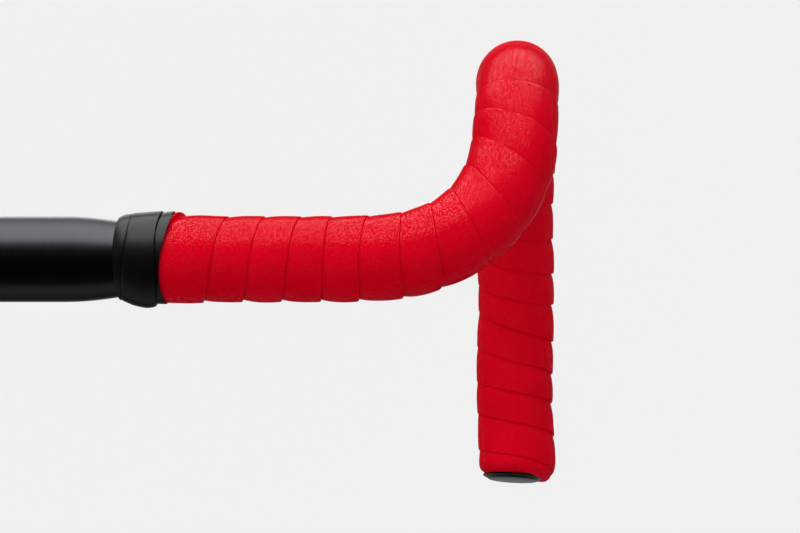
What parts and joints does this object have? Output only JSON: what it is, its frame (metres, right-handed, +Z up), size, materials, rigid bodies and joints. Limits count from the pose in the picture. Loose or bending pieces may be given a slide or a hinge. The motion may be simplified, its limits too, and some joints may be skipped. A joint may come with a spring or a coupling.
{
  "type": "taped drop handlebar",
  "caption": "Drop handlebar of a road bicycle, wrapped in handlebar tape from beside the stem clamp zone to the plugged ends of its drops.",
  "frame": {"origin": "on the tube's axis, in the middle of the zone that the stem clamps", "axes": "+X along the straight tops to the rider's right, +Y to the front of the bicycle, +Z up"},
  "size_m": [0.4516, 0.1802, 0.1561],
  "materials": {
    "tube": "satin black anodised",
    "bar_tape": "red synthetic leather with a fine pebbled grain",
    "finishing_tape": "smooth black stretched vinyl, softly glossy",
    "end_plug": "moulded black with a polished face"
  },
  "bodies": {
    "root": {"handlebar": "tube", "bar_tape_right": "bar_tape", "finishing_tape_right": "finishing_tape", "end_plug_right": "end_plug", "bar_tape_left": "bar_tape", "finishing_tape_left": "finishing_tape", "end_plug_left": "end_plug"}
  },
  "joints": []
}
